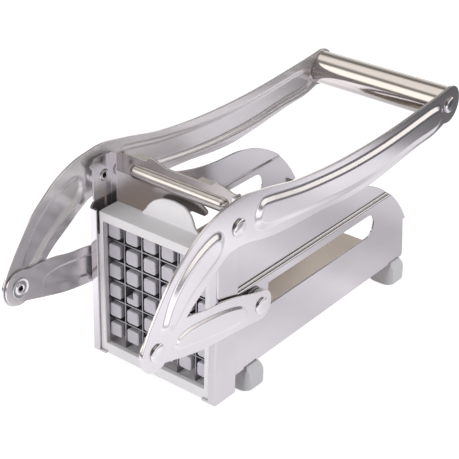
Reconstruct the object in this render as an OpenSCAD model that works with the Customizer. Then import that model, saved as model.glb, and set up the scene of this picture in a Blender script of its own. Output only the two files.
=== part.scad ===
// French fry cutter: a folded steel body with a lever and two side links that drive a
// pusher block through a square blade grid.
// X runs across the cutter, Y from the blades to the grip, Z up. The origin lies on the
// table, under the middle of the overall length. Sizes are in millimetres.
// Points written [y, z] are measured from the middle of the grid.

/* [Blade grid] */
// Pitch of the blades, which is the side of one stick
stick = 12.5; // [10:0.5:13]
// Sticks across the grid, and up it
sticks = 6; // [4:1:7]
// Thickness of a blade
blade_t = 0.6; // [0.4:0.1:1]
// Depth of a blade along the push
blade_depth = 6; // [4:0.5:7]
// Length by which a blade enters the frame at each end
blade_grip = 3; // [2:0.5:3.5]

/* [Grid frame] */
// Width of the frame beside the grid
frame_side = 5; // [4.5:0.5:8]
// Height of the frame under the grid
frame_foot = 8.5; // [7:0.5:12]
// Height of the frame's front face over the grid
frame_head = 5.4; // [5:0.1:6]
// Gap between the frame's face and the lips of the posts
face_gap = 0.7; // [0.4:0.1:1.2]
// Reach of the frame in front of the blades
frame_front = 5.1; // [4:0.1:7]
// Reach of the frame behind the blades' front edges
frame_back = 9.6; // [8.6:0.2:12]
// Rise of the crowned top over the front face
crown_rise = 0.4; // [0.2:0.1:1]
// Thickness of the front lip that hides the blade ends
front_lip = 3.1; // [2:0.1:3.8]
// Overlap of that lip over the outer sticks
lip_side = 2.5; // [0:0.5:3]
// Drop of the front opening below the grid
sill_drop = 2; // [0.5:0.5:3]
// Half width of the thumb tab at its foot
tab_half = 20.5; // [12:0.5:28]
// Rise of the thumb tab over the crown
tab_rise = 11.8; // [6:0.2:12]
// Thickness of the thumb tab
tab_t = 1.8; // [1.4:0.1:3]
// Lean of the thumb tab's top behind the frame
tab_lean = 3; // [1:0.5:4]

/* [Sheet steel body] */
// Thickness of the sheet
sheet = 1.2; // [1:0.1:1.5]
// Step in from the post to the lower side panel
post_step = 1.9; // [1.5:0.1:3]
// Step in at the ledge, from the lower panel to the upper one
ledge_step = 2.1; // [1.5:0.1:3]
// Width of the front lip of a post
post_lip = 5.1; // [4:0.1:7]
// Top of that lip over the grid middle
lip_top = 43.5; // [42:0.5:46]
// Width of the tab folded in at the foot of a post
post_tab = 9.6; // [8:0.2:12]
// Height of the ledge's upper fold over the grid middle
ledge_z = 16.7; // [15:0.1:20]
// Height over which the ledge slopes
ledge_rise = 3.7; // [2.5:0.1:5]
// Crest of the side's top edge behind the blades
crest_y = 107; // [95:1:112]
// Height of that crest over the grid middle
crest_z = 34.2; // [30:0.5:40]
// Radius of the shoulder behind the crest
shoulder_r = 88.2; // [84:0.2:95]
// Depth of the notch under the shoulder
rear_notch = 2.6; // [1:0.2:4]
// Drop of that notch below the window
notch_drop = 4; // [2:0.5:6]
// Width of the flange folded in at the rear
rear_flange = 7; // [5:0.5:10]
// Lean of the rear flange, in degrees
rear_lean = 7; // [4:1:12]
// Rear end of the floor in front of the wall's rear corner
floor_setback = 1.5; // [1:0.1:4]
// Height of the post ear's top over the grid middle
ear_top = 71; // [68:0.5:76]
// Depth of the post ear's flat top behind the blades
ear_back = 16; // [14:0.5:20]
// Height of the sloping corner at the ear's front
ear_corner = 4.5; // [3:0.5:6]
// Step back from the lip to the ear's front edge
ear_step = 2.8; // [2:0.2:4]
// Length of the relief slots over the feet
slot_len = 11.2; // [6:0.4:14]

/* [Side window] */
// Height of the window
window_h = 14.8; // [13:0.2:17]
// Front end of the window behind the blades
window_front = 13.5; // [12.5:0.5:18]
// Room behind the bush when the lever is fully up
window_spare = 4.1; // [1:0.1:8]

/* [Linkage] */
// Lever pivot behind the blades
pivot_y = 4.5; // [3.8:0.1:4.8]
// Lever pivot over the grid middle
pivot_z = 59.4; // [58:0.2:61]
// Lever pivot to link pivot
crank = 75.55; // [74:0.25:77]
// Slope of that line when the handle is down, in degrees
crank_slope = 34.32; // [33:0.2:36]
// Room between the carrier's plate and the slide pin's head
slide_room = 7.8; // [6:0.1:9]
// Slide pin over the grid middle
slide_z = 1.4; // [0:0.2:3]
// Swing of the lever from handle down to handle up, in degrees
swing = 90; // [60:5:90]
// Grip behind the lever pivot
handle_reach = 209.5; // [190:1:230]
// Grip below the lever pivot
handle_drop = 2.1; // [0:0.1:6]

/* [Lever and links] */
// Thickness of the lever arms
arm_t = 1.5; // [1.2:0.1:2]
// Thickness of the links
link_t = 1.2; // [1:0.1:1.5]
// Height of the pressed panels in the arms and links
press_h = 0.9; // [0.4:0.1:1]
// Radius of the lever arm's end round the link pivot
arm_end_r = 10.8; // [9.5:0.1:12]
// Radius of the lever arm's end round the grip
grip_end_r = 12; // [11:0.1:13]
// Radius of the link's end round the link pivot
link_front_r = 10; // [9:0.1:10.5]
// Radius of the link's end round the slide pin
link_back_r = 9; // [8:0.1:10]
// Radius of the rivet and pin shanks
pin_r = 2.7; // [2.4:0.1:3]
// Width of the rolled ring at the inner end of a rivet
roll = 0.7; // [0.4:0.1:1]
// Radius of the outer rivet heads
head_r = 5; // [4.4:0.1:5.3]
// Height of the outer rivet heads
head_h = 1.6; // [1:0.1:2]
// Radius of the flat washers behind the links
washer_r = 5.8; // [5:0.2:8]
// Radius of the spacers between the ears and the arms
spacer_r = 7.5; // [6:0.5:8]
// Outer radius of the grip tube
grip_r = 10.5; // [9.5:0.1:11]
// Wall of the grip tube
grip_wall = 1.2; // [0.8:0.1:1.6]
// Radius of the spindle inside the grip
spindle_r = 5; // [4:0.5:6]
// Length of the plugs in the grip's ends
plug_t = 8; // [5:1:15]
// Radius of the grip screws
grip_screw_r = 2.5; // [2:0.1:3]
// Depth of the grip screws in the spindle
grip_screw_len = 12; // [8:1:20]

/* [Pusher] */
// Side of a square peg
peg = 8.4; // [7.4:0.1:8.6]
// Corner radius of a peg
peg_corner = 1.5; // [0.8:0.1:2]
// Reach of the pegs in front of the blades when the handle is down
peg_reach = 1.4; // [0.5:0.1:2]
// Thickness of the block behind the pegs
block_t = 5.5; // [4:0.5:8]
// Height of the carrier's back plate above and below the grid middle
carrier_half = 26; // [20:1:30]
// Reach of the carrier's ears behind the slide pin
ear_reach = 13.6; // [10:0.2:16]
// Height of the ears over the slide pin
ear_rise = 10.2; // [8:0.2:11]
// Depth of the ears under the slide pin
ear_drop = 11; // [9:0.5:14]
// Radius of the slide bush in the window
bush_r = 7.1; // [6:0.1:7.2]
// Radius of the bush's outer flange
bush_flange_r = 8.6; // [8:0.1:9]
// Radius of the screws
screw_r = 2; // [1.6:0.1:2.2]
// Depth of the carrier's screws in the block
screw_depth = 6.8; // [4:0.2:8]
// Width of the notch in the marked peg
peg_notch = 4.6; // [2:0.2:5]

/* [Crossbar] */
// Front face of the crossbar's plate behind the blades
bar_y = 15; // [14.4:0.2:16]
// Bottom of the plate over the grid middle
bar_z = 57.8; // [57:0.2:59]
// Height of the plate
bar_h = 12.2; // [11:0.2:13]
// Radius of the rounded rib pressed along the plate
rib_r = 3.8; // [3:0.1:4]
// Half length of the rib
rib_half = 32.6; // [28:0.2:34]
// Half width of the tongue over the grid frame
tongue_half = 19.4; // [16:0.2:26]
// Drop of the tongue below the plate
tongue_drop = 6.9; // [5:0.1:7]
// Rise of the humps over the plate's top
hump_rise = 2.7; // [1:0.1:3]
// Width of a hump
hump_w = 14; // [10:0.5:16]
// Width of the tabs folded back beside the humps
bar_tab_w = 11.5; // [8:0.5:14]
// Depth of those tabs
bar_tab = 5; // [3:0.5:5.5]
// Depth of the end flanges along the side walls
bar_flange = 8; // [6:0.5:10]

/* [Feet] */
// Height of a foot
foot_h = 15; // [12:0.5:18]
// Width of a foot across the cutter
foot_w = 17.2; // [15:0.2:18]
// Length of a foot along the cutter
foot_len = 18.6; // [16:0.2:22]
// Corner radius of a foot
foot_corner = 5.5; // [4:0.5:7]
// Height of the chamfer round the top of a foot
foot_chamfer = 3.4; // [2:0.2:5]
// Lean of a foot's rear side
foot_lean = 4; // [1:0.5:5]
// Lean of the other three sides
foot_taper = 0.8; // [0.2:0.1:2]
// Middle of the feet beside the centre line
foot_x = 36.2; // [35:0.2:37]
// Middle of the front feet behind the blades
foot_front = 29.8; // [26:0.2:40]
// Middle of the rear feet in front of the floor's rear end
foot_rear = 5.6; // [5:0.2:15]

/* [Hidden] */
$fn = 48;

// Clearances
seat = 0.05;      // a fixed piece in its seat
running = 0.05;   // a shank that turns in its bore
axial = 0.1;      // a turning piece beside its thrust face
clear = 0.3;      // a moving piece beside one that stands still
floor_clear = 0.35; // the block over the floor
beyond = 1;       // a cut past the face that it opens

// Grid and frame
grid_half = stick * sticks / 2;
block_half = grid_half - stick / 2 + peg / 2;
frame_half = grid_half + frame_side;
frame_top = grid_half + frame_head;
frame_bottom = -grid_half - frame_foot;
well_spare = 1.5;
well_drop = sill_drop + well_spare;
well_top = grid_half + well_spare;
crown_top = frame_top + crown_rise;

// Heights over the table
grid_z = foot_h + sheet + floor_clear + block_half;
table = -grid_z;
wall_bottom = table + foot_h;
floor_top = wall_bottom + sheet;

// Stations across the cutter, from the middle outwards
post_in = frame_half + clear;
post_out = post_in + sheet;
panel_out = post_out - post_step;
panel_in = panel_out - sheet;
upper_out = panel_out - ledge_step;
upper_in = upper_out - sheet;
face_half = post_out - post_lip - face_gap;
washer_t = 0.3;
tail_t = 2 * washer_t;
link_in = post_out + clear + tail_t + axial;
link_out = link_in + link_t;
arm_in = link_out + clear;
arm_out = arm_in + arm_t;
ear_out = panel_in - clear;
ear_in = ear_out - sheet;

// Stations along the cutter
lip_y = -frame_front - clear - sheet;
return_front = frame_back + clear;
return_back = return_front + sheet;
block_front = frame_back + 2 * clear;
carrier_y = block_front + block_t;

// Linkage
pivot = [pivot_y, pivot_z];
function turned(angle) = [cos(angle), sin(angle)];
link_start = pivot - crank * turned(crank_slope);
link_raised = pivot - crank * turned(crank_slope + swing);
pin_head_r = 1.55 * pin_r;
slide = [carrier_y + sheet + slide_room + pin_head_r, slide_z];
link_len = norm(slide - link_start);
function slide_y(from) = from[0] + sqrt(pow(link_len, 2) - pow(slide_z - from[1], 2));
travel = slide_y(link_raised) - slide[0];
grip = pivot + [handle_reach, -handle_drop];
window_back = slide[0] + travel + bush_r + window_spare;

// The origin stands under the middle of the overall length
reach_front = link_start[0] - arm_end_r;
reach_back = grip[0] + grip_end_r;
blade_y = -(reach_front + reach_back) / 2;

STEEL = [0.80, 0.79, 0.81];
BLADE = [0.62, 0.62, 0.65];
CHROME = [0.72, 0.71, 0.72];
FRAME = [0.78, 0.79, 0.82];
PEGS = [0.86, 0.86, 0.89];
RUBBER = [0.58, 0.59, 0.61];

// ---- placing and shaping helpers ----

// Moves geometry from the grid middle to its place over the origin
module stand() translate([0, blade_y, grid_z]) children();

// Places geometry at a [y, z] point
module at(p) translate([0, p[0], p[1]]) children();

// Repeats geometry on both sides
module both() {
    children();
    mirror([1, 0, 0]) children();
}

// Extrudes a [y, z] outline from x0 to x1
module across(x0, x1) {
    translate([x0, 0, 0]) rotate([90, 0, 90]) linear_extrude(x1 - x0) children();
}

// Extrudes an [x, z] outline from y0 to y1
module along(y0, y1) {
    translate([0, y1, 0]) rotate([90, 0, 0]) linear_extrude(y1 - y0) children();
}

// Box between two corners
module block(low, high) translate(low) cube(high - low);

// Round bar along X from x0 to x1
module bar(x0, x1, r) translate([x0, 0, 0]) rotate([0, 90, 0]) cylinder(h = x1 - x0, r = r);

// Domed rivet head along X, standing on x0
module dome(x0, r, h) {
    sphere_r = (r * r + h * h) / (2 * h);
    translate([x0, 0, 0]) rotate([0, 90, 0]) intersection() {
        cylinder(h = h, r = r);
        translate([0, 0, h - sphere_r]) sphere(r = sphere_r);
    }
}

function mix(a, b, t) = a + (b - a) * t;
function reverse(list) = [for (i = [len(list) - 1 : -1 : 0]) list[i]];
function arc(centre, r, from, to, n) =
    [for (i = [0 : n]) centre + r * turned(from + (to - from) * i / n)];
// The points of an arc without its two ends
function between(centre, r, from, to, n) =
    [for (i = [1 : n - 1]) centre + r * turned(mix(from, to, i / n))];
function bezier(a, b, c, d, n) =
    [for (i = [0 : n]) let (t = i / n, s = 1 - t)
        s * s * s * a + 3 * s * s * t * b + 3 * s * t * t * c + t * t * t * d];

// Smooth curve through knots, n steps between each two
function through(knots, n) = concat(
    [for (i = [0 : len(knots) - 2], j = [0 : n - 1])
        let (
            a = knots[max(i - 1, 0)], b = knots[i], c = knots[i + 1],
            d = knots[min(i + 2, len(knots) - 1)], t = j / n
        )
        (2 * b + (c - a) * t + (2 * a - 5 * b + 4 * c - d) * t * t
            + (3 * b - a - 3 * c + d) * t * t * t) / 2],
    [knots[len(knots) - 1]]);

// Direction of a curve at its point i, in degrees
function heading(path, i) =
    let (step = path[min(i + 1, len(path) - 1)] - path[max(i - 1, 0)])
    atan2(step[1], step[0]);

// Closed outline round a path: w0 and w1 are the half widths at its two ends
function ribbon(path, w0, w1, grow) = let (
        last = len(path) - 1, cap = 8,
        w = [for (i = [0 : last]) w0 + (w1 - w0) * i / last + grow]
    ) concat(
        [for (i = [0 : last]) path[i] + w[i] * turned(heading(path, i) - 90)],
        [for (k = [1 : cap - 1])
            path[last] + w[last] * turned(heading(path, last) - 90 + 180 * k / cap)],
        [for (i = [last : -1 : 0]) path[i] + w[i] * turned(heading(path, i) + 90)],
        [for (k = [1 : cap - 1]) path[0] + w[0] * turned(heading(path, 0) + 90 + 180 * k / cap)]);

// Pressed panel along a path: its sloping rim starts at the face x and ends press_h above it
module pressed(path, w0, w1, x) {
    low = ribbon(path, w0, w1, press_slope * press_root / press_h);
    high = ribbon(path, w0, w1, -press_slope);
    n = len(low);
    polyhedron(
        points = concat(
            [for (p = low) [x - press_root, p[0], p[1]]],
            [for (p = high) [x + press_h, p[0], p[1]]]),
        faces = concat(
            [[for (i = [0 : n - 1]) i]],
            [[for (i = [n - 1 : -1 : 0]) n + i]],
            [for (i = [0 : n - 1]) [i, n + (i + 1) % n, (i + 1) % n]],
            [for (i = [0 : n - 1]) [i, n + i, n + (i + 1) % n]]));
}

// Plate with panels pressed outwards: proud in front, hollow behind
module pressed_plate(x0, x1, panels) difference() {
    union() {
        across(x0, x1) children();
        for (p = panels) pressed(p[0], p[1], p[2], x1);
    }
    for (p = panels) pressed(p[0], p[1] - x1 + x0, p[2] - x1 + x0, x0);
}
press_slope = 2;   // run of a panel's sloping rim
press_root = 0.4;  // root of a panel in its plate

// Rectangle with rounded corners, n steps round each
function rounded(w, h, r, n) = [
    for (q = [[1, 1, 0], [-1, 1, 90], [-1, -1, 180], [1, -1, 270]], k = [0 : n])
        [q[0] * (w / 2 - r), q[1] * (h / 2 - r)] + r * turned(q[2] + 90 * k / n)];

// Positions of n copies at a pitch about the middle
function spread(n, pitch) = [for (i = [0 : n - 1]) (i - (n - 1) / 2) * pitch];

// ---- side walls ----

crest = [crest_y, crest_z];
shoulder = [crest_y, crest_z - shoulder_r];
notch_z = slide_z - window_h / 2 - notch_drop;
shoulder_end = asin((notch_z - shoulder[1]) / shoulder_r);
notch_y = shoulder[0] + shoulder_r * cos(shoulder_end) - rear_notch;
rear_y = notch_y + (notch_z - floor_top) * tan(rear_lean);
floor_back = rear_y - floor_setback;
ear_fall = [mix(crest_y, ear_back, 0.89), mix(crest_z, ear_top, 0.43)];

// Panel outline from the post to the rear flange
module panel_outline() {
    polygon(concat(
        [[return_back - sheet / 2, wall_bottom], [floor_back, wall_bottom]],
        [[rear_y, floor_top], [notch_y, notch_z]],
        arc(shoulder, shoulder_r, shoulder_end, 90, 16),
        bezier(crest, [mix(crest_y, ear_back, 0.4), crest_z], ear_fall, [ear_back, ear_top], 14),
        [[return_back - sheet / 2, ear_top]]));
}

// Fold line of the panel: outer face, then inner face
function panel_fold(x_low, x_high, drop) = [
    [x_low, wall_bottom], [x_low, ledge_z - ledge_rise - drop], [x_high, ledge_z - drop],
    [x_high, ear_top]];

module panel() intersection() {
    across(upper_in - beyond, panel_out + beyond) panel_outline();
    along(return_front, notch_y + shoulder_r) polygon(concat(
        panel_fold(panel_out, upper_out, 0),
        reverse(panel_fold(panel_in, upper_in, sheet / 3))));
}

module window() across(upper_in - beyond, post_out + beyond) hull() {
    translate([window_front + window_h / 2, slide_z]) circle(r = window_h / 2);
    translate([window_back - window_h / 2, slide_z]) circle(r = window_h / 2);
}

// Relief slots through the fold between the walls and the floor, over the feet
module relief_slots() for (y = foot_places)
    block([panel_in - sheet, y + slot_ahead - slot_len, wall_bottom - beyond],
        [panel_out + beyond, y + slot_ahead, floor_top]);

// Post outline: a strip with an ear that carries the lever pivot
module post_outline() {
    polygon([
        [lip_y, frame_bottom], [return_back, frame_bottom], [return_back, ear_top],
        [lip_y + ear_corner, ear_top], [lip_y + 0.5 * ear_corner, ear_top - 0.55 * ear_corner],
        [lip_y + 0.1 * ear_corner, ear_top - 0.8 * ear_corner],
        [lip_y + ear_step, ear_top - 1.5 * ear_corner], [lip_y + ear_step, lip_top + ear_step],
        [lip_y, lip_top]]);
}

// Folded channel that holds the grid frame: lip, strip, return and bottom tab
module post() {
    across(post_in, post_out) post_outline();
    block([post_out - post_lip, lip_y, frame_bottom], [post_out, lip_y + sheet, lip_top]);
    along(return_front, return_back) polygon(concat(
        [[post_out, frame_bottom], [post_out, ear_top], [upper_in, ear_top]],
        [[upper_in, ledge_z], [panel_in, ledge_z - ledge_rise], [panel_in, frame_bottom]]));
    block([post_out - post_tab, lip_y, frame_bottom],
        [post_out, return_back, frame_bottom + sheet]);
}

// Rear flange, folded inwards and leaning with the rear edge
module flange() intersection() {
    translate([0, notch_y, notch_z]) rotate([rear_lean, 0, 0])
        translate([panel_out - rear_flange, -sheet, -grid_z])
            cube([rear_flange, sheet, grid_z]);
    block([0, 0, floor_top + clear], [panel_out, rear_y + beyond, notch_z]);
}

module side_wall() stand() difference() {
    union() {
        panel();
        post();
        flange();
    }
    window();
    relief_slots();
    at(pivot) bar(upper_in - beyond, post_out + beyond, pin_r + seat);
}

module side_wall_right() color(STEEL) side_wall();
module side_wall_left() color(STEEL) mirror([1, 0, 0]) side_wall();

// ---- floor and crossbar ----

foot_places = [foot_front, floor_back - foot_rear];
slot_ahead = screw_r;

module floor_plate() color(STEEL) stand() difference() {
    block([-panel_in, return_back, wall_bottom], [panel_in, floor_back, floor_top]);
    both() for (y = foot_places) translate([foot_x, y, wall_bottom - beyond])
        cylinder(h = sheet + 2 * beyond, r = screw_r + seat);
    both() relief_slots();
}

rib_z = bar_z + rib_r;
bar_top = bar_z + bar_h;
humps = [-22.5, 21.4];
bar_corner = tongue_drop / 4;

// Half of the tongue's outline, from its neck to its bottom
tongue_side = [[tongue_half - 3 * bar_corner, bar_z], [tongue_half, bar_z - 2 * bar_corner],
    [tongue_half, bar_z - 3 * bar_corner], [tongue_half - bar_corner, bar_z - tongue_drop]];

// Top edge of the plate over a hump that starts at x
function hump(x) = through([for (p = [[0, 0], [0.14, 0.6], [0.26, 1], [0.6, 0.6], [1, 0]])
    [x + p[0] * hump_w, bar_top + p[1] * hump_rise]], 4);

// Solid of the rib, with rounded ends, out to radius r
module rib(r) at([bar_y, rib_z]) rotate([0, 90, 0]) rotate_extrude() polygon(concat(
    [for (k = [0 : 6]) (rib_half - rib_r) * [0, -1] + r * turned(15 * k - 90)],
    [for (k = [0 : 6]) (rib_half - rib_r) * [0, 1] + r * turned(15 * k)]));

// Pressed crossbar: plate with a tongue, a rib, two folded tabs and end flanges
module crossbar() color(STEEL) stand() {
    difference() {
        union() {
            along(bar_y, bar_y + sheet) polygon(concat(
                [[-upper_in, bar_z]], [for (p = tongue_side) [-p[0], p[1]]],
                reverse(tongue_side), [[upper_in, bar_z], [upper_in, bar_top]],
                reverse(concat(hump(humps[0]), hump(humps[1]))), [[-upper_in, bar_top]]));
            rib(rib_r);
        }
        rib(rib_r - sheet);
        block([-rib_half, bar_y + sheet, bar_z - beyond],
            [rib_half, bar_y + rib_r + beyond, rib_z + rib_r + beyond]);
    }
    for (x = humps) block([x - bar_tab_w + hump_w / 8, bar_y, bar_top - sheet],
        [x + hump_w / 8, bar_y + bar_tab, bar_top]);
    both() across(upper_in - sheet, upper_in) polygon([
        [bar_y, bar_z], [bar_y + bar_flange, bar_z], [bar_y + bar_flange, bar_z + 2 * sheet],
        [bar_y + sheet, ear_top - 4 * sheet], [bar_y, ear_top - 4 * sheet]]);
}

// ---- grid frame and blades ----

// Side view of the frame: flat front, lightly crowned top
module frame_side_view() polygon(concat(
    [[-frame_front, frame_bottom], [frame_back, frame_bottom]],
    [[frame_back, crown_top]],
    bezier([frame_back - blade_grip, crown_top], [0, crown_top],
        [-frame_front, mix(frame_top, crown_top, 0.6)], [-frame_front, frame_top], 8)));

// Rear face of the thumb tab, shifted forwards: upright at its foot, leaning at its top
function tab_face(y) = bezier([y, crown_top], [y, crown_top + 0.5 * tab_rise],
    [y + 0.6 * tab_lean, crown_top + 0.8 * tab_rise], [y + tab_lean, crown_top + tab_rise], 8);

// Bell outline of the thumb tab: right half from its foot to its top
tab_side = [for (p = [[1, -0.06], [0.9, 0.11], [0.81, 0.29], [0.74, 0.5], [0.61, 0.73],
    [0.36, 0.93], [0, 1]]) [p[0] * tab_half, crown_top + p[1] * tab_rise]];

// Thumb tab: bell shape from the front, leaning plate from the side
module thumb_tab() intersection() {
    along(-frame_front, frame_back + tab_lean + beyond) polygon(through(concat(
        [for (p = tab_side) [-p[0], p[1]]], reverse([for (i = [0 : 5]) tab_side[i]])), 4));
    across(-tab_half - beyond, tab_half + beyond) polygon(concat(
        [[frame_back - tab_t - blade_grip, frame_top - beyond], [frame_back, frame_top - beyond]],
        tab_face(frame_back), reverse(tab_face(frame_back - tab_t)),
        [[frame_back - tab_t - blade_grip, crown_top - seat]]));
}

blade_half_v = [grid_half + well_drop + 0.7 * blade_grip, well_top + blade_grip];
blade_half_h = grid_half + blade_grip;
rail_top = grid_half - stick + 1.3 * blade_grip;

// Frame: a face between the post lips, with side rails that slide in the posts
module grid_frame() color(FRAME) stand() difference() {
    union() {
        across(-face_half, face_half) frame_side_view();
        block([-frame_half, -frame_front, frame_bottom], [frame_half, frame_back, rail_top]);
        thumb_tab();
    }
    block([-grid_half, -frame_front + front_lip, -grid_half - well_drop],
        [grid_half, frame_back + beyond, well_top]);
    block([-grid_half + lip_side, -frame_front - beyond, -grid_half - sill_drop],
        [grid_half - lip_side, 0, grid_half]);
    both() block([post_out - post_tab - clear, -frame_front - beyond, frame_bottom - beyond],
        [frame_half + beyond, frame_back + beyond, frame_bottom + sheet]);
    for (x = spread(sticks - 1, stick)) translate([x, 0, 0])
        block([-blade_t / 2 - seat, -seat, -blade_half_v[0] - seat],
            [blade_t / 2 + seat, blade_depth + seat, blade_half_v[1] + seat]);
    for (z = spread(sticks - 1, stick)) translate([0, 0, z])
        block([-blade_half_h - seat, -seat, -blade_t / 2 - seat],
            [blade_half_h + seat, blade_depth + seat, blade_t / 2 + seat]);
}

// Blades cross by half-depth slots: upright ones are slotted from behind
module blades_upright() color(BLADE) stand() for (x = spread(sticks - 1, stick)) difference() {
    block([x - blade_t / 2, 0, -blade_half_v[0]], [x + blade_t / 2, blade_depth, blade_half_v[1]]);
    for (z = spread(sticks - 1, stick))
        block([x - blade_t, blade_depth / 2, z - blade_t / 2 - seat],
            [x + blade_t, blade_depth + beyond, z + blade_t / 2 + seat]);
}

// Level blades are slotted from the front
module blades_level() color(BLADE) stand() for (z = spread(sticks - 1, stick)) difference() {
    block([-blade_half_h, 0, z - blade_t / 2], [blade_half_h, blade_depth, z + blade_t / 2]);
    for (x = spread(sticks - 1, stick))
        block([x - blade_t / 2 - seat, -beyond, z - blade_t],
            [x + blade_t / 2 + seat, blade_depth / 2 + seat, z + blade_t]);
}

// ---- feet ----

screw_head_r = 1.9 * screw_r;
screw_head_h = 0.8 * screw_r;
foot_recess = foot_h / 3;

// Half profile of a foot: lean at the chamfer's height, then the chamfer
function foot_profile(half, rear, front) = [[-half, 0], [half, 0],
    [half - rear, foot_h - foot_chamfer], [half - rear - foot_chamfer / 2, foot_h],
    [-half + front + foot_chamfer / 2, foot_h], [-half + front, foot_h - foot_chamfer]];

// Moulded rubber foot with leaning sides, a chamfered top and a recess for its screw
module foot(x, y) stand() translate([x, y, table]) difference() {
    intersection() {
        linear_extrude(foot_h) polygon(rounded(foot_w, foot_len, foot_corner, 5));
        along(-foot_len, foot_len) polygon(foot_profile(foot_w / 2, foot_taper, foot_taper));
        across(-foot_w, foot_w) polygon(foot_profile(foot_len / 2, foot_lean, foot_taper));
    }
    translate([0, 0, -beyond]) cylinder(h = foot_h + 2 * beyond, r = screw_r + seat);
    translate([0, 0, -beyond]) cylinder(h = foot_recess + beyond, r = 1.25 * screw_head_r);
}

module foot_front_right() color(RUBBER) foot(foot_x, foot_places[0]);
module foot_front_left() color(RUBBER) foot(-foot_x, foot_places[0]);
module foot_rear_right() color(RUBBER) foot(foot_x, foot_places[1]);
module foot_rear_left() color(RUBBER) foot(-foot_x, foot_places[1]);

// Screws from below, flush with the floor plate
module foot_screws() color(CHROME) stand() both() for (y = foot_places) {
    translate([foot_x, y, table + foot_recess - screw_head_h])
        cylinder(h = screw_head_h, r = screw_head_r);
    translate([foot_x, y, table + foot_recess])
        cylinder(h = floor_top - table - foot_recess, r = screw_r);
}

// ---- lever ----

// Tubular rivet from its rolled tail at x0 to its head at x1, with a washer against the
// face at x0 + tail_t where flange_r is wider than the tail
module rivet(x0, x1, flange_r) difference() {
    union() {
        bar(x0, x0 + tail_t, pin_r + roll);
        bar(x0 + washer_t, x0 + tail_t, flange_r);
        bar(x0, x1, pin_r);
        dome(x1, head_r, head_h);
    }
    bar(x0 - beyond, x0 + 2 * sheet, pin_r / 2);
}

// Rivets of the lever pivot, fixed in the ears
module pivot_rivets() color(CHROME) stand() both() at(pivot)
    rivet(post_in - tail_t, arm_out + axial, pin_r + roll);

module pivot_spacers() color(STEEL) stand() both() at(pivot) difference() {
    bar(post_out, arm_in - axial, spacer_r);
    bar(post_out - beyond, arm_in + beyond, pin_r + seat);
}

// Upper edge of a lever arm, from the link pivot to the grip
arm_upper = through([
    link_start + arm_end_r * turned(160), link_start + [-5.9, 12.2], link_start + [1.5, 23.1],
    link_start + [9.8, 33.6], link_start + [19.5, 42], pivot + [-32.1, 7.2],
    pivot + [-19.3, 12.8], pivot + [-6.4, 15.3], pivot + [5, 16], pivot + [25.1, 12.7],
    mix(pivot, grip, 0.255) + [0, 7.5], mix(pivot, grip, 0.437) + [0, 4.6],
    mix(pivot, grip, 0.656) + [0, 5.2], grip + [-22.5, 9.6], grip + grip_end_r * turned(100)],
    5);
// Lower edge, from the grip to the link pivot
arm_lower = through([
    grip + grip_end_r * turned(-110), grip + [-17, -14.6], grip + [-36, -16.1],
    mix(pivot, grip, 0.558) + [0, -22.7], mix(pivot, grip, 0.356) + [0, -19.6],
    pivot + [37.5, -17.9], pivot + [19.9, -15.2], pivot + [7.1, -12.1], pivot + [-5.3, -12],
    pivot + [-13.2, -15.2], link_start + [37, 19.5], link_start + [25, 11.5],
    link_start + [15.5, 2], link_start + arm_end_r * turned(-40)], 5);

// Pressed panels of an arm: [path, half width at its start, at its end]
arm_panels = [
    [through([link_start + [10.4, 12.6], link_start + [17.4, 20.4], pivot + [-38, -15.5],
        pivot + [-28, -9.3], pivot + [-18.7, -4.6]], 4), 7.4, 8.2],
    [through([pivot + [22.5, -1.4], pivot + [53.5, -8.4], mix(pivot, grip, 0.437) + [0, -11.3],
        mix(pivot, grip, 0.656) + [0, -10.6], grip + [-22, -5.2]], 4), 8.2, 6.6]];

module arm_outline() polygon(concat(
    arm_upper, between(grip, grip_end_r, 100, -110, 14),
    arm_lower, between(link_start, arm_end_r, -40, -200, 12)));

module lever_arm() stand() difference() {
    pressed_plate(arm_in, arm_out, arm_panels) arm_outline();
    at(pivot) bar(arm_in - beyond, arm_out + beyond, pin_r + running);
    at(link_start) bar(arm_in - beyond, arm_out + beyond, pin_r + seat);
    at(grip) bar(arm_in - beyond, arm_out + beyond, grip_screw_r + seat);
}

module lever_arm_right() color(STEEL) lever_arm();
module lever_arm_left() color(STEEL) mirror([1, 0, 0]) lever_arm();

grip_in = grip_r - grip_wall;

module grip_tube() color(CHROME) stand() at(grip) difference() {
    bar(-arm_in, arm_in, grip_r);
    bar(-arm_in - beyond, arm_in + beyond, grip_in);
}

// Plugs that centre the tube on its spindle
module grip_plugs() color(FRAME) stand() both() at(grip) difference() {
    bar(arm_in - plug_t, arm_in, grip_in - seat);
    bar(arm_in - plug_t - beyond, arm_in + beyond, spindle_r + seat);
}

module grip_spindle() color(CHROME) stand() at(grip) difference() {
    bar(-arm_in, arm_in, spindle_r);
    both() bar(arm_in - grip_screw_len - seat, arm_in + beyond, grip_screw_r + seat);
}

module grip_screws() color(CHROME) stand() both() at(grip) {
    bar(arm_in - grip_screw_len, arm_out, grip_screw_r);
    dome(arm_out, head_r, head_h);
}

// Rivets that carry the links: fixed in the arms, turning in the links
module link_rivets() color(CHROME) stand() both() at(link_start)
    rivet(link_in - axial - tail_t, arm_out, washer_r);

// ---- links ----

// Upper edge of a link, from the lever to the slide pin
link_upper = through([
    link_start + link_front_r * turned(62), link_start + [24, 7.6], link_start + [38.6, 4.6],
    link_start + [52.3, 2.8], link_start + [67.4, -0.8], slide + [-6.4, 10.4],
    slide + link_back_r * turned(62)], 4);
// Lower edge, back to the lever
link_lower = through([
    slide + link_back_r * turned(-80), slide + [-22.9, -5.8], slide + [-39.6, -4.1],
    link_start + [30.3, -16.8], link_start + link_front_r * turned(-70)], 4);
link_panels = [
    [through([link_start + [21.5, -4.4], link_start + [38.6, -7.4], link_start + [56, -9.7],
        link_start + [71.5, -11.9]], 4), 6.4, 4.6]];

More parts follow.
